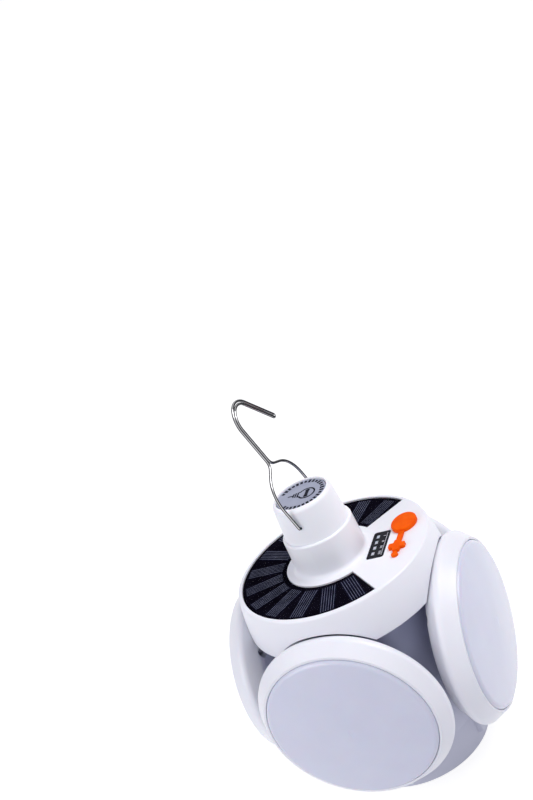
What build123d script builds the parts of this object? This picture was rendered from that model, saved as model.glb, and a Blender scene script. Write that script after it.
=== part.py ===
"""Folding solar lamp: four hinged light wings round a fixed centre light, under a solar deck.

Millimetres, +Z along the neck. The lamp stands folded on its centre lens, whose lowest point is z = 0.
Wing 1 folds towards +X, wing 2 towards +Y, wing 3 towards -X and wing 4 towards -Y.
"""
from build123d import *
import math
import os

# Wings and hinges
wing_count = 4
fold_angle = 88.0             # wing's tilt from flat when folded
hinge_reach = 46.4            # lamp axis to hinge axis
hinge_height = 21.2           # hinge axis above the foot
wing_reach = 54.4             # hinge axis to wing centre
wing_drop = 18.4              # hinge axis to lens plane, with the wing flat
wing_rim_wall = 1.4            # lens edge to the shell's outside at the rim
wing_flare = 6.4              # rim to girth
wing_girth_depth = 9.6
wing_bevel = 8.8              # girth to the flat back
wing_depth = 19.0
wing_back_wall = 2.0
wing_ledge = 5.5              # lens edge in to the board ledge's bore
wing_girth_round = 4.0
wing_back_round = 6.0
seat_gap = 1.0                # folded wing to the hub's seat

# Lenses and LED boards
wing_lens_radius = 46.0
wing_lens_crown = 5.6
centre_lens_radius = 39.7
lens_crown = 6.4              # centre lens, down to the foot
lens_step = 1.4               # upright part of a lens's edge
lens_round = 3.0
foot_radius = 16.0
lens_wall = 1.6
lens_skirt = 7.7
lens_gap = 0.1
board_thickness = 1.5
notch_gap = 0.5               # screw post to the board's notch, open at the board's edge
led_size = 3.5
led_height = 0.9
wing_led_counts = (5, 10)
wing_led_radii = (14.0, 31.0)
centre_led_counts = (4, 9)
centre_led_radii = (11.0, 26.0)

# Hinge knuckles
hinge_width = 22.0
knuckle_count = 7
knuckle_gap = 0.3
barrel_radius = 3.4
pin_radius = 1.0
pin_fit = 0.03
running_fit = 0.06
root_gap = 0.8
root_top = 2.2
root_bottom = 9.0
root_length = 12.0

# Wing screws
wing_screw_inset = 2.6         # lens edge in to a screw's axis
wing_screw_post = 2.4
wing_screw_depth = 13.2       # screw head's seat, from the lens plane
screw_recess_radius = 2.9
screw_head_radius = 2.5
screw_head_height = 1.8
screw_shank_radius = 1.1
screw_slot = 0.8
slot_depth = 0.7

# Hub body
collar_wall = 1.6             # centre lens to the collar's outside
collar_chamfer = 0.6
collar_top = 25.4
dome_flare = 6.2              # collar to dome
dome_wall = 3.3
cavity_floor_inset = 4.0
centre_ledge = 4.9            # centre lens edge in to the board ledge's bore
floor_height = 21.4
floor_thickness = 2.0
crease_drop = 20.0            # deck's top down to the dome's crease
dome_round_rise = 39.0        # collar's top to the dome's middle point
dome_draw = 1.2               # dome's draw-in at that height
flange_drop = 8.5             # deck's top down to the flange's top
arm_width = 25.0
arm_bottom = 12.8
arm_drop = 1.0                # collar's top to the arm's top
arm_root = 6.0
arm_round = 1.0
arm_gap = 3.8                 # hinge axis to the arm's end face

# Deck and skirt
deck_over_wings = 9.675       # folded wings' girth up to the deck's top
deck_thickness = 3.6
rim_radius = 56.4
rim_round = 1.4
skirt_flare = 2.8             # rim to the skirt's lower edge
skirt_height = 23.0
skirt_bulge = 0.5
skirt_wall = 2.4
flange_fit = 0.2
tab_length = 38.0             # deck's top down to a tab's end
tab_width = 12.0
tab_thickness = 3.0
tab_gap = 0.3
hub_screw_rise = 6.0          # tab's end up to its screw
hub_screw_azimuths = (148.0, 328.0)
hub_screw_recess = 1.8
hub_screw_length = 7.5
seal_inset = 2.9              # rim to the seal
seal_width = 2.0
seal_height = 2.0

# Solar panel
panel_border = 2.6            # rim to panel
panel_inner = 26.6
panel_start = 140.2
panel_sweep = 260.5
panel_gap = 0.15
backing_thickness = 1.0
cell_thickness = 0.25
window_thickness = 0.6
cell_count = 13
cell_width = 9.0
cell_inner_margin = 2.8
cell_outer_margin = 2.2

# Neck
neck_base_radius = 23.0
neck_low_radius = 20.6
neck_ridge_radius = 20.1
neck_height = 20.6            # deck's top to the ridge between the neck's halves
neck_foot_height = 3.0
neck_foot_middle = (0.7, 0.9)  # out from the neck and up, halfway round the foot
neck_shoulder = 1.0
neck_bore = 17.0
cap_low_radius = 18.5
cap_top_radius = 17.2
cap_rise = 21.4               # ridge to the neck's top
cap_edge_radius = 15.0        # where the rounding meets the top
cap_round = 2.6
spigot_fit = 0.1
spigot_length = 8.0
spigot_bore = 14.9
cap_bore = 15.9
lip_drop = 4.9

# Power button and its switch
button_radius = 14.4
button_bore = 14.7
button_recess = 0.8
button_thickness = 2.0
button_wall = 2.0
button_flange = 15.6
button_flange_height = 1.7
button_play = 0.3
button_round = 0.5
bore_chamfer = 0.5
button_stem_radius = 2.5
button_travel = 1.0
switch_size = 6.2
switch_height = 3.5
plunger_radius = 1.6
plunger_height = 1.3

# Hook
hook_rise = 10.4              # ridge to the hook's pivot
hook_lean = 14.5
wire_radius = 0.8
hook_half_width = 18.9
hook_arch_height = 33.0
hook_arch_radius = 17.0
hook_stub = 4.1
hook_stub_round = 1.0
hook_bend_height = 57.0
hook_bend_radius = 11.0
hook_bend_angle = 142.0
hook_end_length = 24.0
hook_wire_gap = 0.3
hook_fork_round = 5.0

# Indicator and charging port
plate_length = 24.6
plate_width = 9.8
plate_thickness = 0.8
plate_y = 28.4
plate_corner = 1.5
window_length = 2.6
window_width = 1.7
window_pitch = 5.2
window_y = 26.6
port_x = -15.0
port_y = 40.8
port_length = 9.4
port_width = 4.0
cap_length = 17.0
cap_width = 14.6
cap_thickness = 2.4
boss_depth = 1.2
boss_gap = 0.7
rubber_round = 0.9
strap_x = -4.6
strap_width = 3.0
strap_thickness = 1.2
strap_gap = 0.3
cross_x = 6.6
cross_reach = 4.7
cross_bar = 4.0
cross_rise = 0.6              # cross's top above the strap's
tail_length = 9.4
tail_radius = 1.9
tail_width = 2.0
port_lift = 0.05

# Boards and battery
main_board_x = (-22.0, 14.0)
main_board_inner_y = 20.0
main_board_inset = 10.4       # rim to the board's outer edge
main_board_thickness = 1.6
controller = ((-1.0, 6.0), (36.0, 41.0), 1.0)        # limits along X and Y, then the height
coil = ((7.0, 12.0), (30.0, 35.0), 2.2)
connector = ((-20.0, -16.0), (23.0, 31.0), 2.6)
indicator_led = (2.0, 1.2, 0.7)
socket_length = 9.0
socket_depth = 3.4
socket_height = 5.2
socket_wall = 0.4
socket_floor = 1.0
tongue_length = 6.4
tongue_thickness = 0.7
battery_radius = 9.2
battery_length = 65.0
battery_pitch = 19.0
holder_wall = 2.5
holder_width = 20.0

# Cutting tools and arcs
overcut = 1.0                 # cutting tools run this far past a face
arc_middle = 0.3              # a rounding's middle point, as a share of its radius

# Worked-out places
fold = math.radians(fold_angle)
wing_centre_height = hinge_height + wing_reach * math.sin(fold) - wing_drop * math.cos(fold)
lens_plane = lens_crown
wing_rim_radius = wing_lens_radius + wing_rim_wall
wing_girth_radius = wing_rim_radius + wing_flare
wing_back_radius = wing_girth_radius - wing_bevel
wing_ledge_radius = wing_lens_radius - wing_ledge
wing_screw_radius = wing_lens_radius - wing_screw_inset
collar_radius = centre_lens_radius + collar_wall
centre_ledge_radius = centre_lens_radius - centre_ledge
dome_radius = collar_radius + dome_flare
cavity_radius = dome_radius - dome_wall
cavity_floor_radius = collar_radius - cavity_floor_inset
skirt_radius = rim_radius + skirt_flare
seal_outer = rim_radius - seal_inset
seal_inner = seal_outer - seal_width
panel_outer = rim_radius - panel_border
cell_inner = panel_inner + cell_inner_margin
cell_outer = panel_outer - cell_outer_margin
board_seat = lens_skirt + board_thickness
ledge_depth = board_seat
deck_height = wing_centre_height + wing_girth_radius + deck_over_wings
deck_under = deck_height - deck_thickness
skirt_bottom = deck_height - skirt_height
flange_top = deck_height - flange_drop
crease_height = deck_height - crease_drop
dome_round_height = collar_top + dome_round_rise
tab_bottom = deck_height - tab_length
hub_screw_height = tab_bottom + hub_screw_rise
neck_ridge_height = deck_height + neck_height
cap_height = neck_ridge_height + cap_rise
lip_height = cap_height - lip_drop
hook_height = neck_ridge_height + hook_rise
panel_depth = backing_thickness + cell_thickness + window_thickness
knuckle_pitch = hinge_width / knuckle_count


def turned(points):
    """Solid turned about Z from a half section given as (radius, height) points."""
    section = make_face(Plane.XZ * Polyline(*points, close=True))
    return revolve(section, Axis.Z)


def ring(outer, inner, low, high):
    """Plain ring about Z."""
    height = high - low
    return Pos(0, 0, low) * (Cylinder(outer, height, align=(Align.CENTER, Align.CENTER, Align.MIN))
                             - Cylinder(inner, height, align=(Align.CENTER, Align.CENTER, Align.MIN)))


def post(radius, low, high):
    """Plain cylinder about Z."""
    return Pos(0, 0, low) * Cylinder(radius, high - low, align=(Align.CENTER, Align.CENTER, Align.MIN))


def block(x, y, z):
    """Box between pairs of limits along X, Y and Z."""
    size = (x[1] - x[0], y[1] - y[0], z[1] - z[0])
    return Pos(sum(x) / 2, sum(y) / 2, sum(z) / 2) * Box(*size)


def wing_place(index):
    """Hinge frame of one folded wing: X out along the wing, Y along the hinge, Z to its back."""
    turn = Rot(0, 0, 360.0 / wing_count * index)
    return turn * Pos(hinge_reach, 0, hinge_height) * Rot(0, -fold_angle, 0)


def disc_place(index):
    """Frame of one wing's disc: centre of its lens plane, Z to its back."""
    return wing_place(index) * Pos(wing_reach, 0, -wing_drop)


def wing_body(gap=0.0):
    """Outside of a wing's shell: flared side, rounded girth, bevelled back. A gap makes it larger."""
    profile = FilletPolyline(
        (wing_rim_radius + gap, -gap),
        (wing_girth_radius + gap, wing_girth_depth),
        (wing_back_radius + gap / 2, wing_depth + gap),
        (0, wing_depth + gap),
        radius=[wing_girth_round, wing_back_round])
    closing = Polyline(profile @ 1, (0, -gap), profile @ 0)
    return revolve(make_face(Plane.XZ * (profile + closing)), Axis.Z)


def pillow(radius, sphere, centre, rounding):
    """Solid below a lens's outside or inside: a spherical face towards -Z with a rounded shoulder."""
    def face(at):
        return (at, centre - math.sqrt(sphere ** 2 - at ** 2))

    arc = ThreePointArc(face(radius), face(radius / 2), face(0))
    rest = Polyline(face(0), (0, lens_skirt), (radius, lens_skirt), face(radius))
    body = revolve(make_face(Plane.XZ * (arc + rest)), Axis.Z)
    shoulder = body.edges().filter_by(lambda edge: edge.is_closed).group_by(Axis.Z)[0]
    return fillet(shoulder, rounding)


def lens(radius, crown):
    """Milky lens: pillow-shaped face, with a skirt that holds the LED board down."""
    rise = crown - lens_step
    sphere = (radius ** 2 + rise ** 2) / (2 * rise)
    centre = sphere - crown
    inside = pillow(radius - lens_wall, sphere - lens_wall, centre, lens_round - lens_wall)
    return pillow(radius, sphere, centre, lens_round) - inside


def leds(counts, radii, low):
    """Square LEDs in rings, low being the face nearer the lens."""
    spots = []
    for count, radius in zip(counts, radii):
        for step in range(count):
            angle = 360.0 / count * step
            spots.append(Rot(0, 0, angle) * Pos(radius, 0, low)
                         * Box(led_size, led_size, led_height, align=(Align.CENTER, Align.CENTER, Align.MIN)))
    return spots


def screw(length, head_low):
    """Screw about Z: slotted head above head_low, shank below it."""
    body = post(screw_head_radius, head_low, head_low + screw_head_height)
    slot_low = head_low + screw_head_height - slot_depth
    body -= block((-screw_head_radius - overcut, screw_head_radius + overcut), (-screw_slot / 2, screw_slot / 2),
                  (slot_low, slot_low + 2 * slot_depth))
    return body + post(screw_shank_radius, head_low - length, head_low)


def wing_screw_spots():
    """Places of one wing's four screws, in the disc's frame."""
    return [Rot(0, 0, 45.0 + 90.0 * step) * Pos(wing_screw_radius, 0, 0) for step in range(4)]


def hinge_slices(first):
    """Knuckle widths along the hinge, every second one from the first."""
    start = -hinge_width / 2
    for index in range(first, knuckle_count, 2):
        yield (start + knuckle_pitch * index + knuckle_gap / 2,
               start + knuckle_pitch * (index + 1) - knuckle_gap / 2)


def barrel(radius, sides):
    """Cylinder along the hinge axis between two places."""
    return Rot(90, 0, 0) * post(radius, -sides[1], -sides[0])


def wing_hinge():
    """Root block and fingers of one wing, in its hinge frame."""
    half = hinge_width / 2
    root = block((0, root_length), (-half, half), (-root_bottom, root_top))
    root -= barrel(barrel_radius + root_gap, (-half - overcut, half + overcut))
    for sides in hinge_slices(1):
        root += block((0, barrel_radius + 2 * root_gap), sides, (-barrel_radius, root_top))
        root += barrel(barrel_radius, sides)
    return root - barrel(pin_radius + running_fit, (-half - overcut, half + overcut))


def wing_shell():
    """Wing housing with its bore, board ledge, screw recesses and hinge, in its hinge frame."""
    cavity = post(wing_lens_radius + lens_gap, -lens_crown, ledge_depth)
    cavity += post(wing_ledge_radius, -lens_crown, wing_depth - wing_back_wall)
    to_disc = Pos(wing_reach, 0, -wing_drop)
    shell = to_disc * wing_body() + wing_hinge()
    shell -= to_disc * cavity
    for spot in wing_screw_spots():
        shell -= to_disc * spot * post(screw_recess_radius, wing_screw_depth, wing_depth + overcut)
        shell -= to_disc * spot * post(screw_shank_radius + lens_gap, ledge_depth - overcut, wing_depth)
    return shell


def wing_lens():
    """Wing lens with its four screw posts."""
    body = lens(wing_lens_radius, wing_lens_crown)
    for spot in wing_screw_spots():
        body += spot * post(wing_screw_post, lens_wall / 2, ledge_depth - lens_gap)
        body -= spot * post(screw_shank_radius, lens_skirt - 3, ledge_depth)
    return body


def led_board(radius, notches=()):
    """Round LED board under a lens skirt."""
    board = post(radius, lens_skirt, board_seat)
    for spot in notches:
        board -= spot * post(wing_screw_post + notch_gap, 0, wing_depth)
    return board


def wing_pieces():
    """Pieces of the four like wings, placed folded."""
    shell = wing_shell()
    screws = [spot * screw(wing_screw_depth - lens_skirt + overcut, wing_screw_depth)
              for spot in wing_screw_spots()]
    inside = {
        "lens": wing_lens(),
        "board": led_board(wing_lens_radius - lens_gap, wing_screw_spots()),
        "leds": Compound(leds(wing_led_counts, wing_led_radii, lens_skirt - led_height)),
        "screws": Compound(screws),
    }
    placed = {}
    for index in range(wing_count):
        placed[f"wing_{index + 1}_shell"] = wing_place(index) * shell
        for name, shape in inside.items():
            placed[f"wing_{index + 1}_{name}"] = disc_place(index) * shape
    return placed


def wing_seats():
    """Space that the folded wings and their hinge roots need."""
    seats = []
    for index in range(wing_count):
        half = hinge_width / 2 + seat_gap
        root = block((-root_top, root_length), (-half, half), (0, root_top + seat_gap / 2))
        seats.append(disc_place(index) * wing_body(seat_gap))
        seats.append(wing_place(index) * root)
    return seats


def hub_hinge(index):
    """Arm and knuckles that carry one wing, with the pin's bore."""
    half = arm_width / 2
    arm = block((collar_radius - arm_root, hinge_reach - arm_gap), (-half, half),
                (arm_bottom, collar_top - arm_drop))
    arm = fillet(arm.edges().filter_by(Axis.Z).group_by(Axis.X)[-1], arm_round)
    hinge = Pos(hinge_reach, 0, hinge_height)
    for sides in hinge_slices(0):
        web = block((-arm_gap - overcut, 0), sides, (-barrel_radius, barrel_radius))
        arm += hinge * (web + barrel(barrel_radius, sides))
    arm -= hinge * barrel(pin_radius + pin_fit, (-half, half))
    return Rot(0, 0, 360.0 / wing_count * index) * arm


def hub_screw_place(azimuth):
    """Frame of one hub screw: Z points out of the dome."""
    return Rot(0, 0, azimuth) * Pos(dome_radius, 0, hub_screw_height) * Rot(0, 90, 0)


def hub_outline():
    """Outside of the hub body, turned: collar, dome and flange."""
    side = ThreePointArc((collar_radius, collar_top),
                         (dome_radius - dome_draw, dome_round_height),
                         (dome_radius, crease_height))
    flange_low = skirt_radius - skirt_wall - flange_fit
    flange_high = rim_radius - skirt_wall + flange_fit
    rest = Polyline((dome_radius, crease_height), (flange_low, skirt_bottom + flange_fit),
                    (flange_high, flange_top), (0, flange_top), (0, lens_plane),
                    (collar_radius - collar_chamfer, lens_plane),
                    (collar_radius, lens_plane + collar_chamfer),
                    (collar_radius, collar_top))
    return revolve(make_face(Plane.XZ * (side + rest)), Axis.Z)


def hub_body(seats):
    """Hub: centre light's housing, arms, dome and flange."""
    body = hub_outline()
    for index in range(wing_count):
        body += hub_hinge(index)
    body -= post(centre_lens_radius + lens_gap, 0, lens_plane + ledge_depth)
    body -= post(centre_ledge_radius, 0, floor_height)
    body -= turned([(0, floor_height + floor_thickness),
                    (cavity_floor_radius, floor_height + floor_thickness),
                    (cavity_radius, dome_round_height), (cavity_radius, flange_top + overcut),
                    (0, flange_top + overcut)])
    for seat in seats:
        body -= seat
    for azimuth in hub_screw_azimuths:
        body -= hub_screw_place(azimuth) * post(screw_recess_radius, -hub_screw_recess, overcut)
        body -= hub_screw_place(azimuth) * post(screw_shank_radius + lens_gap, -hub_screw_length, 0)
    return body


def cover_skirt():
    """Deck disc and skirt, turned, open underneath."""
    outer = ThreePointArc((rim_radius, deck_height - rim_round),
                          ((rim_radius + skirt_radius) / 2 + skirt_bulge,
                           (deck_height + skirt_bottom) / 2),
                          (skirt_radius, skirt_bottom))
    round_over = ThreePointArc((rim_radius - rim_round, deck_height),
                               (rim_radius - arc_middle * rim_round, deck_height - arc_middle * rim_round),
                               (rim_radius, deck_height - rim_round))
    rest = Polyline((skirt_radius, skirt_bottom), (skirt_radius - skirt_wall, skirt_bottom),
                    (rim_radius - skirt_wall, deck_under), (0, deck_under), (0, deck_height),
                    (rim_radius - rim_round, deck_height))
    return revolve(make_face(Plane.XZ * (round_over + outer + rest)), Axis.Z)


def lower_neck():
    """Lower neck on the deck, with its flared foot and rounded shoulder."""
    out, up = neck_foot_middle
    foot_top = deck_height + neck_foot_height
    shoulder_low = neck_ridge_height - neck_shoulder
    shoulder_radius = neck_ridge_radius - neck_shoulder
    middle = arc_middle * neck_shoulder
    foot = ThreePointArc((neck_base_radius, deck_height), (neck_low_radius + out, deck_height + up),
                         (neck_low_radius, foot_top))
    side = Line((neck_low_radius, foot_top), (neck_ridge_radius, shoulder_low))
    shoulder = ThreePointArc((neck_ridge_radius, shoulder_low),
                             (neck_ridge_radius - middle, neck_ridge_height - middle),
                             (shoulder_radius, neck_ridge_height))
    rest = Polyline((shoulder_radius, neck_ridge_height), (0, neck_ridge_height),
                    (0, deck_under), (neck_base_radius, deck_under), (neck_base_radius, deck_height))
    return revolve(make_face(Plane.XZ * (foot + side + shoulder + rest)), Axis.Z)


def sector(outer, inner, start, sweep, low, high):
    """Part of a flat ring between two azimuths."""
    flat = make_face(Plane.XY * (
        CenterArc((0, 0), outer, start, sweep)
        + Line((CenterArc((0, 0), outer, start, sweep) @ 1), (CenterArc((0, 0), inner, start, sweep) @ 1))
        + CenterArc((0, 0), inner, start, sweep)
        + Line((CenterArc((0, 0), inner, start, sweep) @ 0), (CenterArc((0, 0), outer, start, sweep) @ 0))))
    return Pos(0, 0, low) * extrude(flat, high - low)


def panel_plate(low, high, gap=panel_gap):
    """One layer of the C-shaped solar panel."""
    side = math.degrees(gap / panel_inner)
    return sector(panel_outer - gap, panel_inner + gap, panel_start + side, panel_sweep - 2 * side,
                  low, high)


def plate_outline(length, width, low, high):
    """Upright plate with rounded corners, centred on its own axis."""
    flat = RectangleRounded(length, width, plate_corner)
    return Pos(0, 0, low) * extrude(flat, high - low)


def windows(low, high, gap=0.0):
    """Four indicator windows in a row."""
    return [Pos(window_pitch * (step - 1.5), window_y, low)
            * Box(window_length + gap, window_width + gap, high - low,
                  align=(Align.CENTER, Align.CENTER, Align.MIN)) for step in range(4)]


def port_outline(gap, low, high):
    """Rounded block of the charging port."""
    flat = SlotOverall(port_length + 2 * gap, port_width + 2 * gap)
    return Pos(port_x, port_y, low) * extrude(flat, high - low)


def top_cover(seats):
    """Solar deck with skirt, lower neck, screw tabs and the recesses in its top."""
    body = cover_skirt() + lower_neck()
    body += ring(seal_outer, seal_inner, flange_top + seal_height, deck_under)
    body -= post(neck_bore, deck_under - overcut, neck_ridge_height + overcut)
    outer = cavity_radius - tab_gap
    tab = ring(outer, outer - tab_thickness, tab_bottom, deck_under)
    tab &= block((0, outer), (-tab_width / 2, tab_width / 2), (tab_bottom, deck_under))
    for azimuth in hub_screw_azimuths:
        body += Rot(0, 0, azimuth) * tab
        body -= hub_screw_place(azimuth) * post(screw_shank_radius, -hub_screw_length - overcut, 0)
    body -= sector(panel_outer, panel_inner, panel_start, panel_sweep,
                   deck_height - panel_depth, deck_height + overcut)
    body -= Pos(0, plate_y, 0) * plate_outline(plate_length + 2 * panel_gap, plate_width + 2 * panel_gap,
                                               deck_height - plate_thickness, deck_height + overcut)
    for light_hole in windows(deck_under - overcut, deck_height, panel_gap):
        body -= light_hole
    body -= port_outline(boss_gap, deck_under - overcut, deck_height + overcut)
    body -= Pos(cross_x, port_y, 0) * post(cross_bar / 2 + lens_gap, deck_under - overcut,
                                                  deck_height + overcut)
    for seat in seats:
        body -= seat
    return body


def neck_cap():
    """Upper neck with its spigot, button bore and hook holes."""
    arc_low = cap_height - cap_round
    rounding = ThreePointArc((cap_top_radius, arc_low),
                             (cap_top_radius - arc_middle * cap_round, cap_height - arc_middle * cap_round),
                             (cap_edge_radius, cap_height))
    spigot = neck_bore - spigot_fit
    rest = Polyline((cap_edge_radius, cap_height), (button_bore, cap_height - bore_chamfer),
                    (button_bore, lip_height), (cap_bore, lip_height), (cap_bore, neck_ridge_height),
                    (spigot_bore, neck_ridge_height), (spigot_bore, neck_ridge_height - spigot_length),
                    (spigot, neck_ridge_height - spigot_length), (spigot, neck_ridge_height),
                    (cap_low_radius, neck_ridge_height), (cap_top_radius, arc_low))
    body = revolve(make_face(Plane.XZ * (rounding + rest)), Axis.Z)
    bore = Pos(0, 0, hook_height) * Rot(0, 90, 0) * post(wire_radius + running_fit, -hook_half_width,
                                                               hook_half_width)
    return body - bore


def power_button():
    """Push button: top disc, skirt, retaining flange and stem."""
    top = cap_height - button_recess
    flange_high = lip_height - button_play
    flange_low = flange_high - button_flange_height
    body = post(button_radius, flange_low, top)
    body = fillet(body.edges().group_by(Axis.Z)[-1], button_round)
    body += post(button_flange, flange_low, flange_high)
    body -= post(button_radius - button_wall, flange_low - overcut, top - button_thickness)
    return body + post(button_stem_radius, stem_bottom(), top - button_thickness)


def plunger_top():
    """Height of the tact switch's plunger."""
    return neck_ridge_height + main_board_thickness + switch_height + plunger_height


def stem_bottom():
    """Height of the button's stem at rest, clear of the plunger when pressed."""
    return plunger_top() + button_travel + button_play


def tact_switch():
    """Tact switch with its plunger."""
    low = neck_ridge_height + main_board_thickness
    half = switch_size / 2
    body = block((-half, half), (-half, half), (low, low + switch_height))
    return body + post(plunger_radius, low + switch_height, plunger_top())


def hook_path():
    """Centre line of the hook's wire, upright in the XZ plane with the pivot at z = 0."""
    inner = wire_radius + hook_wire_gap / 2
    centre = Vector(-hook_bend_radius, hook_bend_height)

    def bend(radius):
        return CenterArc(centre, radius, 0, hook_bend_angle)

    outer_bend = bend(hook_bend_radius + inner)
    inner_bend = bend(hook_bend_radius - inner)
    heading = math.radians(90 + hook_bend_angle)
    run = Vector(math.cos(heading), math.sin(heading)) * hook_end_length
    across = Vector(math.cos(heading - math.pi / 2), math.sin(heading - math.pi / 2))
    tip = (outer_bend @ 1 + inner_bend @ 1) / 2 + run + Vector(math.cos(heading), math.sin(heading)) * inner
    legs = []
    for side in (1, -1):
        corners = [(side * (hook_half_width - hook_stub), 0), (side * hook_half_width, 0),
                   (side * hook_half_width, hook_arch_height - hook_arch_radius / 2),
                   (side * inner, hook_arch_height), (side * inner, hook_bend_height)]
        legs.append(FilletPolyline(*corners, radius=[hook_stub_round, hook_arch_radius, hook_fork_round]))
    turn = ThreePointArc(outer_bend @ 1 + run, tip, inner_bend @ 1 + run)
    return (legs[0] + outer_bend + Line(outer_bend @ 1, outer_bend @ 1 + run) + turn
            + Line(inner_bend @ 1 + run, inner_bend @ 1) + inner_bend + legs[1])


def hook():
    """Hook bent from one wire doubled back on itself, leaning on its two ends."""
    path = Plane.XZ * hook_path()
    start = hook_half_width - hook_stub
    profile = Plane(origin=(start, 0, 0), z_dir=(1, 0, 0)) * Circle(wire_radius)
    wire = Wire(path.edges())
    return Pos(0, 0, hook_height) * Rot(hook_lean, 0, 0) * sweep(profile, path=wire)


def port_cap():
    """Rubber cap over the charging port, with its boss and half of its strap."""
    low = deck_height + port_lift
    flat = Ellipse(cap_length / 2, cap_width / 2)
    body = Pos(port_x, port_y, low) * extrude(flat, cap_thickness)
    body = fillet(body.edges().group_by(Axis.Z)[-1], rubber_round)
    body += port_outline(0, deck_height - boss_depth, deck_height + cap_thickness / 2)
    half = strap_width / 2
    return body + block((port_x, strap_x - strap_gap / 2), (port_y - half, port_y + half),
                        (low, low + strap_thickness))


def port_anchor():
    """Rubber anchor: strap end, cross, tail and the plug that holds it in the deck."""
    low = deck_height
    half = strap_width / 2
    bar = cross_bar / 2
    body = block((strap_x + strap_gap / 2, cross_x), (port_y - half, port_y + half),
                 (low, low + strap_thickness))
    body += block((cross_x - bar, cross_x + bar), (port_y - cross_reach, port_y + cross_reach),
                  (low, low + strap_thickness + cross_rise))
    body += block((cross_x - cross_reach, cross_x + cross_reach), (port_y - bar, port_y + bar),
                  (low, low + strap_thickness + cross_rise))
    corners = body.edges().filter_by(Axis.Z).filter_by(lambda edge: edge.length > strap_thickness)
    body = fillet(corners, rubber_round)
    tail_end = cross_x + tail_length - tail_radius
    body += Pos(tail_end, port_y, 0) * post(tail_radius, low, low + strap_thickness)
    body += block((cross_x, tail_end), (port_y - tail_width / 2, port_y + tail_width / 2),
                  (low, low + strap_thickness))
    return body + Pos(cross_x, port_y, 0) * post(bar, deck_under, low)


def main_board():
    """Main board across the flange, under the deck."""
    return block(main_board_x, (main_board_inner_y, rim_radius - main_board_inset),
                 (flange_top, flange_top + main_board_thickness))


def board_parts():
    """Controller, coil and connector on the main board's top."""
    top = flange_top + main_board_thickness
    return [block(x, y, (top, top + height)) for x, y, height in (controller, coil, connector)]


def indicator_leds():
    """Four small LEDs under the indicator windows."""
    top = flange_top + main_board_thickness
    return [Pos(window_pitch * (step - 1.5), window_y, top)
            * Box(*indicator_led, align=(Align.CENTER, Align.CENTER, Align.MIN)) for step in range(4)]


def charge_socket():
    """Charging socket on the main board, open towards the deck."""
    top = flange_top + main_board_thickness
    inside = SlotOverall(socket_length - 2 * socket_wall, socket_depth - 2 * socket_wall)
    body = Pos(port_x, port_y, top) * extrude(SlotOverall(socket_length, socket_depth), socket_height)
    body -= Pos(port_x, port_y, top + socket_floor) * extrude(inside, socket_height)
    return body + block((port_x - tongue_length / 2, port_x + tongue_length / 2),
                        (port_y - tongue_thickness / 2, port_y + tongue_thickness / 2),
                        (top, top + socket_height - socket_floor))


def battery_cells():
    """Two cells side by side on the holder's floor."""
    low = floor_height + floor_thickness + holder_wall
    return [Pos(side * battery_pitch / 2, 0, 0) * post(battery_radius, low, low + battery_length)
            for side in (-1, 1)]


def battery_holder():
    """Battery holder: floor, top clip and the spine that joins them."""
    low = floor_height + floor_thickness
    high = low + battery_length + 2 * holder_wall
    reach = battery_pitch / 2 + battery_radius
    half = holder_width / 2
    body = block((-reach, reach), (-half, half), (low, low + holder_wall))
    body += block((-reach, reach), (-half, half), (high - holder_wall, high))
    return body + block((-reach, reach), (half, half + holder_wall), (low, high))


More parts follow.
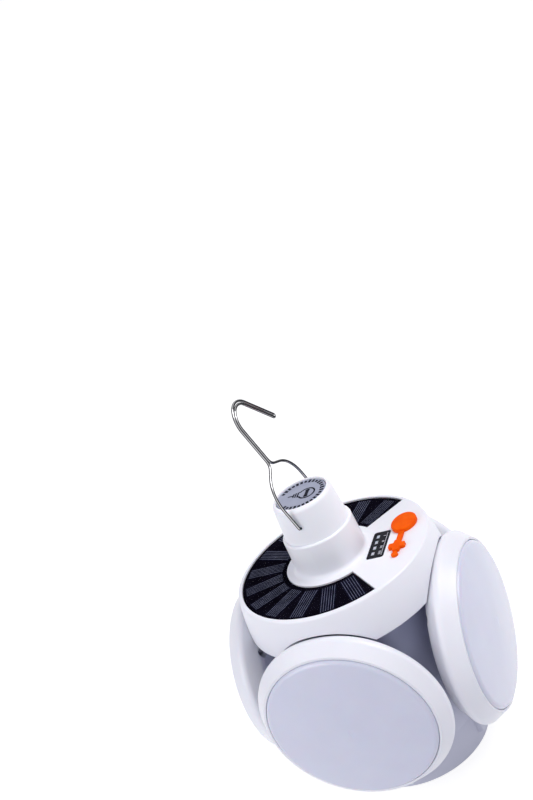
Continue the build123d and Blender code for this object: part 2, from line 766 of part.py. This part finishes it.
def make_pieces():
    """Every sub-part by its node's name."""
    seats = wing_seats()
    panel_low = deck_height - panel_depth
    cell_low = panel_low + backing_thickness
    cells = []
    for step in range(cell_count):
        azimuth = panel_start + panel_sweep * (step + 0.5) / cell_count
        cells.append(Rot(0, 0, azimuth) * block((cell_inner, cell_outer), (-cell_width / 2, cell_width / 2),
                                                (cell_low, cell_low + cell_thickness)))
    plate = Pos(0, plate_y, 0) * plate_outline(plate_length, plate_width,
                                               deck_height - plate_thickness, deck_height)
    for hole in windows(deck_height - plate_thickness - overcut, deck_height + overcut):
        plate -= hole
    pins = [Rot(0, 0, 90.0 * index) * Pos(hinge_reach, 0, hinge_height)
            * barrel(pin_radius, (-hinge_width / 2 + knuckle_gap, hinge_width / 2 - knuckle_gap))
            for index in range(wing_count)]
    into_centre = Pos(0, 0, lens_plane)
    full_crown = lens_step + (lens_crown - lens_step) / (1 - (foot_radius / centre_lens_radius) ** 2)
    below_foot = post(centre_lens_radius, -full_crown, 0)
    pieces = {
        "hub_body": hub_body(seats),
        "top_cover": top_cover(seats),
        "neck_cap": neck_cap(),
        "centre_lens": into_centre * lens(centre_lens_radius, full_crown) - below_foot,
        "centre_board": into_centre * led_board(centre_lens_radius - lens_gap),
        "centre_leds": into_centre * Compound(leds(centre_led_counts, centre_led_radii,
                                                    lens_skirt - led_height)),
        "hinge_pins": Compound(pins),
        "hub_screws": Compound([hub_screw_place(azimuth) * Pos(0, 0, -hub_screw_recess)
                                * screw(hub_screw_length - hub_screw_recess, 0)
                                for azimuth in hub_screw_azimuths]),
        "deck_seal": ring(seal_outer, seal_inner, flange_top, flange_top + seal_height),
        "solar_backing": panel_plate(panel_low, cell_low),
        "solar_cells": Compound(cells),
        "solar_window": panel_plate(cell_low + cell_thickness, deck_height),
        "indicator_plate": plate,
        "indicator_windows": Compound(windows(deck_height - plate_thickness, deck_height)),
        "indicator_leds": Compound(indicator_leds()),
        "port_anchor": port_anchor(),
        "port_cap": port_cap(),
        "charge_socket": charge_socket(),
        "main_board": main_board(),
        "board_parts": Compound(board_parts()),
        "battery_cells": Compound(battery_cells()),
        "battery_holder": battery_holder(),
        "switch_board": post(cap_bore - lens_gap, neck_ridge_height, neck_ridge_height + main_board_thickness),
        "tact_switch": tact_switch(),
        "power_button": power_button(),
        "hook": hook(),
    }
    pieces.update(wing_pieces())
    return pieces


os.makedirs("parts", exist_ok=True)
for name, shape in make_pieces().items():
    export_step(shape, f"parts/{name}.step")
    print(name, round(shape.volume))
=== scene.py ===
import math
import bmesh
import bpy
from mathutils import Matrix, Vector


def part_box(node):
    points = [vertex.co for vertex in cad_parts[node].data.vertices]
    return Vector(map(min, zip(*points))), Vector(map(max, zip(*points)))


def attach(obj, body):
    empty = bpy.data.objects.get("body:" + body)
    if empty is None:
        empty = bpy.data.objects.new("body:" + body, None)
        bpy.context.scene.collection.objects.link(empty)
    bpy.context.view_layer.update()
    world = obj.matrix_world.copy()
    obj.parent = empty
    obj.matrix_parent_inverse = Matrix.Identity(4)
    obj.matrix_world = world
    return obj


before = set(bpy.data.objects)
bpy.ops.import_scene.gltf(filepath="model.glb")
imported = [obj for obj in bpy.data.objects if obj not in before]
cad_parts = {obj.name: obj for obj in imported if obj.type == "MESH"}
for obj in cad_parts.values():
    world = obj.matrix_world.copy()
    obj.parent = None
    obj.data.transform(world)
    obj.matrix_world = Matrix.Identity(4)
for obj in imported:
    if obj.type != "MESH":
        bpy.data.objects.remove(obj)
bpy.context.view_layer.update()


# Centre light: a domed milky lens pressed into the hub's collar, with a round white LED board
# behind it. The lens is moulded in one shot from opal plastic, glossy outside, and its flat
# middle is the foot that the folded lamp stands on.

SHARP_ANGLE = math.radians(35.0)


def finish(name, **constants):
    """New material whose shader has these constants."""
    material = bpy.data.materials.new(name)
    material.use_nodes = True
    shader = material.node_tree.nodes["Principled BSDF"]
    for socket, value in constants.items():
        shader.inputs[socket.replace("_", " ")].default_value = value
    return material


def node(material, kind, **settings):
    """New node in a material, with its inputs and settings given by name."""
    made = material.node_tree.nodes.new(kind)
    for key, value in settings.items():
        if key in made.inputs:
            made.inputs[key].default_value = value
        else:
            setattr(made, key, value)
    return made


def join(material, source, target, socket):
    """Link from an output to a node's input, by name or number."""
    material.node_tree.links.new(source, target.inputs[socket])


def shader_of(material):
    """Material's Principled shader."""
    return material.node_tree.nodes["Principled BSDF"]


def mottle(material, size, detail=4.0):
    """Noise in the piece's own metres; size is one blotch's width."""
    place = node(material, "ShaderNodeTexCoord")
    noise = node(material, "ShaderNodeTexNoise", Scale=1.0 / size, Detail=detail)
    join(material, place.outputs["Object"], noise, "Vector")
    return noise.outputs["Fac"]


def spread(material, source, low, high, bottom=0.3, top=0.7):
    """Source stretched to run from low to high."""
    ranged = node(material, "ShaderNodeMapRange")
    ranged.inputs["From Min"].default_value = bottom
    ranged.inputs["From Max"].default_value = top
    ranged.inputs["To Min"].default_value = low
    ranged.inputs["To Max"].default_value = high
    join(material, source, ranged, "Value")
    return ranged.outputs["Result"]


def blend_colours(material, factor, dark, light):
    """Colour between two, by a factor."""
    mix = node(material, "ShaderNodeMix", data_type="RGBA")
    mix.inputs[6].default_value = (*dark, 1.0)
    mix.inputs[7].default_value = (*light, 1.0)
    join(material, factor, mix, "Factor")
    return mix.outputs[2]


def colour_blotches(material, size, dark, light):
    """Base colour that drifts between two near colours."""
    factor = spread(material, mottle(material, size), 0.0, 1.0)
    join(material, blend_colours(material, factor, dark, light), shader_of(material), "Base Color")


def gloss_blotches(material, size, low, high):
    """Roughness that drifts between two values."""
    join(material, spread(material, mottle(material, size), low, high), shader_of(material), "Roughness")


def grain(material, size, depth, edge=0.0):
    """Fine surface relief, over edges rounded to a radius."""
    bump = node(material, "ShaderNodeBump", Strength=1.0, Distance=depth)
    join(material, mottle(material, size, 2.0), bump, "Height")
    if edge:
        rounded = node(material, "ShaderNodeBevel", samples=4, Radius=edge)
        join(material, rounded.outputs["Normal"], bump, "Normal")
    join(material, bump.outputs["Normal"], shader_of(material), "Normal")


def dress(names, material):
    """CAD nodes get a material and smooth shading between their sharp edges."""
    for name in names:
        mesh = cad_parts[name].data
        mesh.materials.clear()
        mesh.materials.append(material)
        mesh.shade_smooth()
        mesh.set_sharp_from_angle(angle=SHARP_ANGLE)


opal = finish("opal_lens", Roughness=0.2, IOR=1.49, Subsurface_Weight=0.25, Subsurface_Scale=0.003)
colour_blotches(opal, 0.05, (0.62, 0.63, 0.75), (0.68, 0.69, 0.80))
gloss_blotches(opal, 0.02, 0.18, 0.26)
grain(opal, 0.004, 0.00001, edge=0.0004)
dress(["centre_lens"], opal)

board_white = finish("led_board_mask", Roughness=0.5, IOR=1.5)
colour_blotches(board_white, 0.006, (0.74, 0.75, 0.77), (0.83, 0.84, 0.85))
gloss_blotches(board_white, 0.01, 0.4, 0.6)
grain(board_white, 0.0009, 0.00001)
dress(["centre_board"], board_white)

phosphor = finish("led_phosphor", Roughness=0.3, IOR=1.45)
colour_blotches(phosphor, 0.0012, (0.83, 0.72, 0.25), (0.90, 0.82, 0.42))
gloss_blotches(phosphor, 0.002, 0.2, 0.4)
grain(phosphor, 0.0004, 0.00001)
dress(["centre_leds"], phosphor)


# Hub: the collar round the centre light, four hinge arms, the dome behind the wings and the
# flange under the deck, moulded together in satin plastic, painted grey and darker towards the deck as
# painted shade from the skirt and wings. Two dark screws hold the deck.

HUB_LIGHT_SHADE_HEIGHT = 0.03
HUB_DEEP_SHADE_HEIGHT = 0.115
UNEVEN_SIZE = 0.03
UNEVEN_SHARE = 0.25


def painted_light_by_height(material, low, high, below, above):
    """Painted light and shade: base colour that turns from one to another between two heights, with an
    uneven edge.
    """
    place = node(material, "ShaderNodeTexCoord")
    height = node(material, "ShaderNodeSeparateXYZ")
    join(material, place.outputs["Object"], height, "Vector")
    uneven = node(material, "ShaderNodeMath", operation="MULTIPLY_ADD")
    uneven.inputs[1].default_value = (high - low) * UNEVEN_SHARE
    join(material, mottle(material, UNEVEN_SIZE), uneven, 0)
    join(material, height.outputs["Z"], uneven, 2)
    factor = spread(material, uneven.outputs[0], 0.0, 1.0, low, high)
    join(material, blend_colours(material, factor, below, above), shader_of(material), "Base Color")


hub_plastic_painted_shade = finish("hub_painted_shade_plastic", Roughness=0.42, IOR=1.5)
# Painted shade: the hub's colour is grey and darkens further towards the deck, where the skirt and wings
# shade it.
painted_light_by_height(hub_plastic_painted_shade, HUB_LIGHT_SHADE_HEIGHT, HUB_DEEP_SHADE_HEIGHT, (0.62, 0.63, 0.74), (0.36, 0.38, 0.53))
gloss_blotches(hub_plastic_painted_shade, 0.012, 0.36, 0.48)
grain(hub_plastic_painted_shade, 0.0005, 0.00001, edge=0.0006)
dress(["hub_body"], hub_plastic_painted_shade)

screw_steel = finish("blackened_screw", Metallic=1.0, Roughness=0.4)
colour_blotches(screw_steel, 0.002, (0.05, 0.05, 0.06), (0.12, 0.12, 0.14))
gloss_blotches(screw_steel, 0.001, 0.28, 0.5)
grain(screw_steel, 0.0003, 0.00002)
dress(["hub_screws"], screw_steel)

pin_steel = finish("ground_pin_steel", Metallic=1.0, Roughness=0.25)
colour_blotches(pin_steel, 0.003, (0.50, 0.51, 0.53), (0.62, 0.63, 0.65))
gloss_blotches(pin_steel, 0.001, 0.18, 0.34)
grain(pin_steel, 0.0003, 0.00001)
dress(["hinge_pins"], pin_steel)


# Battery: two standard cells in shrunk plastic sleeves, side by side in a black moulded holder.
# It stands inside the hub, hidden once the deck is on.

sleeve = finish("battery_sleeve", Roughness=0.3, IOR=1.5)
colour_blotches(sleeve, 0.01, (0.03, 0.14, 0.34), (0.05, 0.20, 0.42))
gloss_blotches(sleeve, 0.006, 0.22, 0.38)
grain(sleeve, 0.002, 0.00002)
dress(["battery_cells"], sleeve)

black_plastic = finish("black_moulded_plastic", Roughness=0.5, IOR=1.5)
colour_blotches(black_plastic, 0.004, (0.012, 0.012, 0.015), (0.03, 0.03, 0.034))
gloss_blotches(black_plastic, 0.004, 0.4, 0.6)
grain(black_plastic, 0.0005, 0.00002, edge=0.0003)
dress(["battery_holder"], black_plastic)


# Wings: four round light heads with a flared white housing, a milky lens inside a broad bezel,
# an LED board, and four screws in the bevelled back. Each turns on fingers round a hinge pin.

WINGS = 4


def satin_white(name):
    """Moulded white plastic with its gloss and relief, still without its colour."""
    material = finish(name, Roughness=0.36, IOR=1.5, Subsurface_Weight=0.1, Subsurface_Scale=0.002)
    gloss_blotches(material, 0.012, 0.30, 0.42)
    grain(material, 0.0005, 0.00001, edge=0.0006)
    return material


wing_plastic = satin_white("white_satin_plastic")
colour_blotches(wing_plastic, 0.03, (0.80, 0.80, 0.855), (0.84, 0.84, 0.885))
for number in range(1, WINGS + 1):
    dress([f"wing_{number}_shell"], wing_plastic)
    dress([f"wing_{number}_lens"], opal)
    dress([f"wing_{number}_board"], board_white)
    dress([f"wing_{number}_leds"], phosphor)
    dress([f"wing_{number}_screws"], screw_steel)


# Deck: the white moulded cover with its scalloped skirt and lower neck, and the upper neck that
# plugs into it. A soft black ring seals the cover to the hub's flange.

COVER_SHADED_HEIGHT = 0.110
COVER_LIT_HEIGHT = 0.160

cover_plastic_painted_light = satin_white("cover_painted_light_plastic")
# Painted light and shade: the cover is painted darker low on the skirt and paler towards the neck's top,
# as light falls from above.
painted_light_by_height(cover_plastic_painted_light, COVER_SHADED_HEIGHT, COVER_LIT_HEIGHT, (0.74, 0.74, 0.80), (0.90, 0.90, 0.945))
dress(["top_cover", "neck_cap"], cover_plastic_painted_light)

seal_rubber = finish("black_seal_rubber", Roughness=0.7, IOR=1.5)
colour_blotches(seal_rubber, 0.004, (0.015, 0.015, 0.016), (0.03, 0.03, 0.03))
gloss_blotches(seal_rubber, 0.003, 0.6, 0.8)
grain(seal_rubber, 0.0006, 0.00003)
dress(["deck_seal"], seal_rubber)


# Solar panel: dark cells on a black backing, sealed under clear poured resin. Each cell carries
# six fine silver grid lines that run out from the neck.

CELLS = 13
PANEL_START = math.radians(140.2)
PANEL_SWEEP = math.radians(260.5)
GRID_INNER = 0.0296
GRID_OUTER = 0.0514
GRID_LINES = 6
GRID_PITCH = 0.0014
GRID_WIDTH = 0.00022
GRID_THICKNESS = 0.00002
CELL_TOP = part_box("solar_cells")[1][2]
GRID_LIFT = 0.00002


def block_into(mesh, turn, x, y, z):
    """Adds a box between pairs of limits, turned by a matrix."""
    corners = [turn @ Vector((x[i], y[j], z[k])) for i in (0, 1) for j in (0, 1) for k in (0, 1)]
    made = [mesh.verts.new(corner) for corner in corners]
    for face in ((0, 1, 3, 2), (4, 6, 7, 5), (0, 4, 5, 1), (2, 3, 7, 6), (0, 2, 6, 4), (1, 5, 7, 3)):
        mesh.faces.new([made[i] for i in face])


def object_from(name, mesh, material):
    """Finished bmesh as an object in the scene."""
    bmesh.ops.recalc_face_normals(mesh, faces=mesh.faces)
    data = bpy.data.meshes.new(name)
    mesh.to_mesh(data)
    mesh.free()
    data.materials.append(material)
    made = bpy.data.objects.new(name, data)
    bpy.context.scene.collection.objects.link(made)
    return made


def piece(name, mesh, material, body):
    """Finished bmesh as an object that rides on a body."""
    made = object_from(name, mesh, material)
    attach(made, body)


backing = finish("panel_backing", Roughness=0.6, IOR=1.01)
colour_blotches(backing, 0.01, (0.002, 0.0015, 0.004), (0.005, 0.004, 0.009))
gloss_blotches(backing, 0.006, 0.4, 0.6)
grain(backing, 0.002, 0.000003)
dress(["solar_backing"], backing)

silicon = finish("solar_silicon", Roughness=0.35, IOR=1.02)
colour_blotches(silicon, 0.004, (0.003, 0.003, 0.009), (0.008, 0.008, 0.022))
gloss_blotches(silicon, 0.003, 0.2, 0.4)
grain(silicon, 0.002, 0.000003)
dress(["solar_cells"], silicon)

silver_print = finish("silver_grid_print", Metallic=0.4, Roughness=0.45)
colour_blotches(silver_print, 0.006, (0.07, 0.08, 0.14), (0.22, 0.24, 0.36))
gloss_blotches(silver_print, 0.001, 0.35, 0.55)
grain(silver_print, 0.0003, 0.000005)
grid = bmesh.new()
for cell in range(CELLS):
    turn = Matrix.Rotation(PANEL_START + PANEL_SWEEP * (cell + 0.5) / CELLS, 4, "Z")
    for line in range(GRID_LINES):
        middle = GRID_PITCH * (line - (GRID_LINES - 1) / 2)
        block_into(grid, turn, (GRID_INNER, GRID_OUTER),
                   (middle - GRID_WIDTH / 2, middle + GRID_WIDTH / 2),
                   (CELL_TOP + GRID_LIFT, CELL_TOP + GRID_LIFT + GRID_THICKNESS))
piece("solar_grid_lines", grid, silver_print, "lamp")

resin = finish("clear_resin", Roughness=0.05, IOR=1.04, Alpha=0.05)
colour_blotches(resin, 0.02, (0.008, 0.008, 0.014), (0.016, 0.016, 0.026))
gloss_blotches(resin, 0.008, 0.03, 0.09)
grain(resin, 0.006, 0.00002)
dress(["solar_window"], resin)


# Charge indicator: a black plate let into the deck, with four frosted windows over small LEDs
# and white printed ticks, one more beside each window, to show how full the battery is.

PLATE_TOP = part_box("indicator_plate")[1][2]
TICK_START = 0.0298
TICK_END = 0.0312
TICK_PITCH = 0.0008
TICK_WIDTH = 0.0004
PRINT_THICKNESS = 0.00004
WINDOWS = 4
WINDOW_PITCH = 0.0052
RULE_NEAR = 0.0317
RULE_FAR = 0.0320
RULE_HALF = 0.0102

plate_black = finish("indicator_gloss_black", Roughness=0.3, IOR=1.1)
colour_blotches(plate_black, 0.004, (0.008, 0.008, 0.012), (0.018, 0.018, 0.024))
gloss_blotches(plate_black, 0.004, 0.24, 0.4)
grain(plate_black, 0.002, 0.000005)
dress(["indicator_plate"], plate_black)

frosted = finish("frosted_window", Roughness=0.45, IOR=1.5, Subsurface_Weight=0.3, Subsurface_Scale=0.001)
colour_blotches(frosted, 0.001, (0.42, 0.44, 0.52), (0.54, 0.56, 0.64))
gloss_blotches(frosted, 0.0006, 0.35, 0.55)
grain(frosted, 0.0003, 0.00001)
dress(["indicator_windows"], frosted)
dress(["indicator_leds"], phosphor)

white_ink = finish("white_ink", Roughness=0.5, IOR=1.5)
colour_blotches(white_ink, 0.0008, (0.42, 0.42, 0.48), (0.60, 0.60, 0.66))
gloss_blotches(white_ink, 0.0006, 0.4, 0.6)
grain(white_ink, 0.0002, 0.000005)
ticks = bmesh.new()
unturned = Matrix.Identity(4)
for window in range(WINDOWS):
    centre = WINDOW_PITCH * (window - (WINDOWS - 1) / 2)
    for tick in range(window + 1):
        middle = centre + TICK_PITCH * (tick - window / 2)
        block_into(ticks, unturned, (middle - TICK_WIDTH / 2, middle + TICK_WIDTH / 2),
                   (TICK_START, TICK_END), (PLATE_TOP, PLATE_TOP + PRINT_THICKNESS))
block_into(ticks, unturned, (-RULE_HALF, RULE_HALF), (RULE_NEAR, RULE_FAR),
           (PLATE_TOP, PLATE_TOP + PRINT_THICKNESS))
piece("indicator_ticks", ticks, white_ink, "lamp")


# Charging port: a steel socket on the main board under the deck, closed by an orange rubber cap
# on a strap. The strap ends in a cross whose plug is pushed into a hole in the deck.

orange = finish("orange_rubber", Roughness=0.6, IOR=1.15, Subsurface_Weight=0.1, Subsurface_Scale=0.001)
colour_blotches(orange, 0.006, (0.85, 0.085, 0.0), (0.94, 0.125, 0.001))
gloss_blotches(orange, 0.004, 0.5, 0.68)
grain(orange, 0.0005, 0.00002, edge=0.0005)
dress(["port_cap", "port_anchor"], orange)

socket_steel = finish("socket_steel", Metallic=1.0, Roughness=0.3)
colour_blotches(socket_steel, 0.002, (0.45, 0.46, 0.48), (0.58, 0.59, 0.61))
gloss_blotches(socket_steel, 0.001, 0.2, 0.4)
grain(socket_steel, 0.0003, 0.00001)
dress(["charge_socket"], socket_steel)

solder_mask = finish("green_solder_mask", Roughness=0.35, IOR=1.5)
colour_blotches(solder_mask, 0.003, (0.015, 0.12, 0.05), (0.03, 0.18, 0.08))
gloss_blotches(solder_mask, 0.003, 0.25, 0.45)
grain(solder_mask, 0.0008, 0.00003)
dress(["main_board", "switch_board"], solder_mask)
dress(["board_parts", "tact_switch"], black_plastic)


# Power button: a blue-grey satin disc in the neck's top, over the tact switch. An open ring of
# ticks and a bulb sign are printed on it in dark ink.

BUTTON_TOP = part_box("power_button")[1][2]
RING_RADIUS = 0.0124
RING_GAP = math.radians(62.0)
RING_GAP_MIDDLE = math.radians(287.0)
RING_TICKS = 26
TICK_LENGTHS = (0.0027, 0.0019, 0.0024)
RING_TICK_WIDTH = 0.0016
SIGN_STROKE = 0.0009
BULB_RADIUS = 0.0046
BULB_CENTRE = 0.0034
BULB_OPENING = math.radians(62.0)
BULB_STEPS = 24
CAP_RUNGS = ((-0.0018, 0.0019), (-0.0032, 0.0017), (-0.0045, 0.0013))
CAP_TIP = -0.0074
FILAMENT_HALF = 0.0026
FILAMENT_FOOT = 0.0009
FILAMENT_STROKE = 0.0021

button_plastic = finish("button_satin_plastic", Roughness=0.4, IOR=1.5)
colour_blotches(button_plastic, 0.008, (0.28, 0.30, 0.40), (0.33, 0.35, 0.45))
gloss_blotches(button_plastic, 0.006, 0.34, 0.48)
grain(button_plastic, 0.0005, 0.00001, edge=0.0004)
dress(["power_button"], button_plastic)

navy_ink = finish("navy_ink", Roughness=0.5, IOR=1.15)
colour_blotches(navy_ink, 0.0008, (0.004, 0.0045, 0.012), (0.010, 0.011, 0.026))
gloss_blotches(navy_ink, 0.0006, 0.35, 0.55)
grain(navy_ink, 0.0002, 0.000005)


def stroke_into(mesh, points, width, low):
    """Adds a flat printed line through points."""
    for start, end in zip(points, points[1:]):
        along = Vector(end) - Vector(start)
        turn = Matrix.Translation((*start, 0.0)) @ Matrix.Rotation(math.atan2(along.y, along.x), 4, "Z")
        block_into(mesh, turn, (-width / 2, along.length + width / 2), (-width / 2, width / 2),
                   (low, low + PRINT_THICKNESS))


ring = bmesh.new()
for tick in range(RING_TICKS):
    azimuth = RING_GAP_MIDDLE + RING_GAP / 2 + (2 * math.pi - RING_GAP) * (tick + 0.5) / RING_TICKS
    half = TICK_LENGTHS[tick % len(TICK_LENGTHS)] / 2
    block_into(ring, Matrix.Rotation(azimuth, 4, "Z"), (RING_RADIUS - half, RING_RADIUS + half),
               (-RING_TICK_WIDTH / 2, RING_TICK_WIDTH / 2), (BUTTON_TOP, BUTTON_TOP + PRINT_THICKNESS))
piece("button_tick_ring", ring, navy_ink, "power_button")

sign = bmesh.new()
glass = []
for step in range(BULB_STEPS + 1):
    angle = -math.pi / 2 + BULB_OPENING / 2 + (2 * math.pi - BULB_OPENING) * step / BULB_STEPS
    glass.append((BULB_RADIUS * math.cos(angle), BULB_CENTRE + BULB_RADIUS * math.sin(angle)))
first_rung = CAP_RUNGS[0]
glass = [(first_rung[1], first_rung[0])] + glass + [(-first_rung[1], first_rung[0])]
stroke_into(sign, glass, SIGN_STROKE, BUTTON_TOP)
for height, half in CAP_RUNGS:
    stroke_into(sign, [(-half, height), (half, height)], SIGN_STROKE, BUTTON_TOP)
stroke_into(sign, [(0.0, CAP_RUNGS[-1][0]), (0.0, CAP_TIP)], SIGN_STROKE, BUTTON_TOP)
filament = [(-FILAMENT_HALF, BULB_CENTRE), (FILAMENT_HALF, BULB_CENTRE)]
stroke_into(sign, filament, FILAMENT_STROKE, BUTTON_TOP)
for end, _ in filament:
    stroke_into(sign, [(end, BULB_CENTRE - FILAMENT_FOOT), (end, BULB_CENTRE + FILAMENT_FOOT)],
                SIGN_STROKE, BUTTON_TOP)
piece("button_bulb_sign", sign, navy_ink, "power_button")


# Hook: one chromed steel wire, doubled back on itself at the tip, with its two ends bent into
# holes in the neck so that it folds down flat. Its plating carries painted reflections: bright and dark
# bands along it.

REFLECTION_BAND_SCALE = 0.262
REFLECTION_BAND_PHASE = 1.05

chrome = finish("bright_chrome", Metallic=1.0, Roughness=0.1)
# Painted reflection: bright and dark bands in the base colour, set by the surface's own direction.
painted_reflection_bands = node(chrome, "ShaderNodeTexWave", bands_direction="Y", Scale=REFLECTION_BAND_SCALE, Distortion=0.6)
painted_reflection_bands.inputs["Phase Offset"].default_value = REFLECTION_BAND_PHASE
join(chrome, node(chrome, "ShaderNodeTexCoord").outputs["Normal"], painted_reflection_bands, "Vector")
reflection_brightness = node(chrome, "ShaderNodeMath", operation="MULTIPLY")
join(chrome, spread(chrome, painted_reflection_bands.outputs["Fac"], 0.0, 1.0, 0.25, 0.9), reflection_brightness, 0)
join(chrome, spread(chrome, mottle(chrome, 0.02), 0.45, 1.0), reflection_brightness, 1)
join(chrome, blend_colours(chrome, reflection_brightness.outputs[0], (0.018, 0.018, 0.022), (0.74, 0.74, 0.76)),
     shader_of(chrome), "Base Color")
gloss_blotches(chrome, 0.004, 0.06, 0.16)
grain(chrome, 0.003, 0.00001)
dress(["hook"], chrome)


# Studio: a pale floor that shows white to the camera and keeps the lamp's soft shadow, two large
# soft lights and a faintly lavender surround.

FLOOR_HALF = 20.0
FLOOR_TOP = -0.0002
FLOOR_THICKNESS = 0.01
FLOOR_GLOW = 0.6
FLOOR_WHITE = 1.44
WHITE = (1.0, 1.0, 1.0, 1.0)
SURROUND = (0.88, 0.90, 1.0, 1.0)
SURROUND_STRENGTH = 0.445
LIGHT_AIM = Vector((0.0, 0.0, 0.1))
CAMERA_LENS = 60.53
CAMERA_SENSOR = 36.0
CAMERA_PLACE = (0.57669, 0.29983, 0.49117)
CAMERA_RIGHT = (-0.2608, 0.8716, -0.4151)
CAMERA_UP = (-0.4928, 0.2496, 0.8336)
CAMERA_BACK = (0.8302, 0.4219, 0.3644)


def is_seen(owner):
    """One for camera, glossy and transmission rays in a material or world, else zero."""
    path = node(owner, "ShaderNodeLightPath")
    total = path.outputs["Is Camera Ray"]
    for kind in ("Is Glossy Ray", "Is Transmission Ray"):
        larger = node(owner, "ShaderNodeMath", operation="MAXIMUM")
        join(owner, total, larger, 0)
        join(owner, path.outputs[kind], larger, 1)
        total = larger.outputs[0]
    return total


def split_rays(owner, factor, lighting, seen, output):
    """Surface that lights the lamp by one shader and is seen by a share of another."""
    share = node(owner, "ShaderNodeMixShader")
    join(owner, factor, share, 0)
    join(owner, lighting, share, 1)
    join(owner, seen, share, 2)
    join(owner, share.outputs[0], owner.node_tree.nodes[output], "Surface")


pale = finish("pale_floor", Roughness=0.9)
colour_blotches(pale, 0.4, (0.78, 0.78, 0.80), (0.82, 0.82, 0.83))
floor_glow = node(pale, "ShaderNodeEmission", Color=WHITE, Strength=FLOOR_WHITE)
glow_share = node(pale, "ShaderNodeMath", operation="MULTIPLY")
glow_share.inputs[1].default_value = FLOOR_GLOW
join(pale, is_seen(pale), glow_share, 0)
split_rays(pale, glow_share.outputs[0], shader_of(pale).outputs[0], floor_glow.outputs[0],
           "Material Output")
floor_mesh = bmesh.new()
block_into(floor_mesh, unturned, (-FLOOR_HALF, FLOOR_HALF), (-FLOOR_HALF, FLOOR_HALF),
           (FLOOR_TOP - FLOOR_THICKNESS, FLOOR_TOP))
object_from("floor", floor_mesh, pale)

world = bpy.data.worlds.new("studio")
world.use_nodes = True
bpy.context.scene.world = world
lavender = node(world, "ShaderNodeBackground", Color=SURROUND, Strength=SURROUND_STRENGTH)
backdrop = node(world, "ShaderNodeBackground", Color=WHITE, Strength=1.0)
split_rays(world, is_seen(world), lavender.outputs[0], backdrop.outputs[0], "World Output")


def soft_light(name, place, size, power, colour):
    """Square area light aimed at the lamp."""
    data = bpy.data.lights.new(name, "AREA")
    data.size = size
    data.energy = power
    data.color = colour
    made = bpy.data.objects.new(name, data)
    made.location = place
    made.rotation_euler = (Vector(place) - LIGHT_AIM).to_track_quat("Z", "Y").to_euler()
    bpy.context.scene.collection.objects.link(made)


soft_light("key", (-0.15, 0.75, 1.25), 0.8, 12.2, (1.0, 0.99, 1.0))
soft_light("fill", (0.95, -0.75, 0.65), 0.9, 7.0, (0.97, 0.97, 1.0))

camera_data = bpy.data.cameras.new("camera")
camera_data.lens = CAMERA_LENS
camera_data.sensor_width = CAMERA_SENSOR
camera = bpy.data.objects.new("camera", camera_data)
turn = Matrix((CAMERA_RIGHT, CAMERA_UP, CAMERA_BACK)).transposed().to_4x4()
camera.matrix_world = Matrix.Translation(CAMERA_PLACE) @ turn
bpy.context.scene.collection.objects.link(camera)
bpy.context.scene.camera = camera
bpy.context.scene.view_settings.view_transform = "Standard"
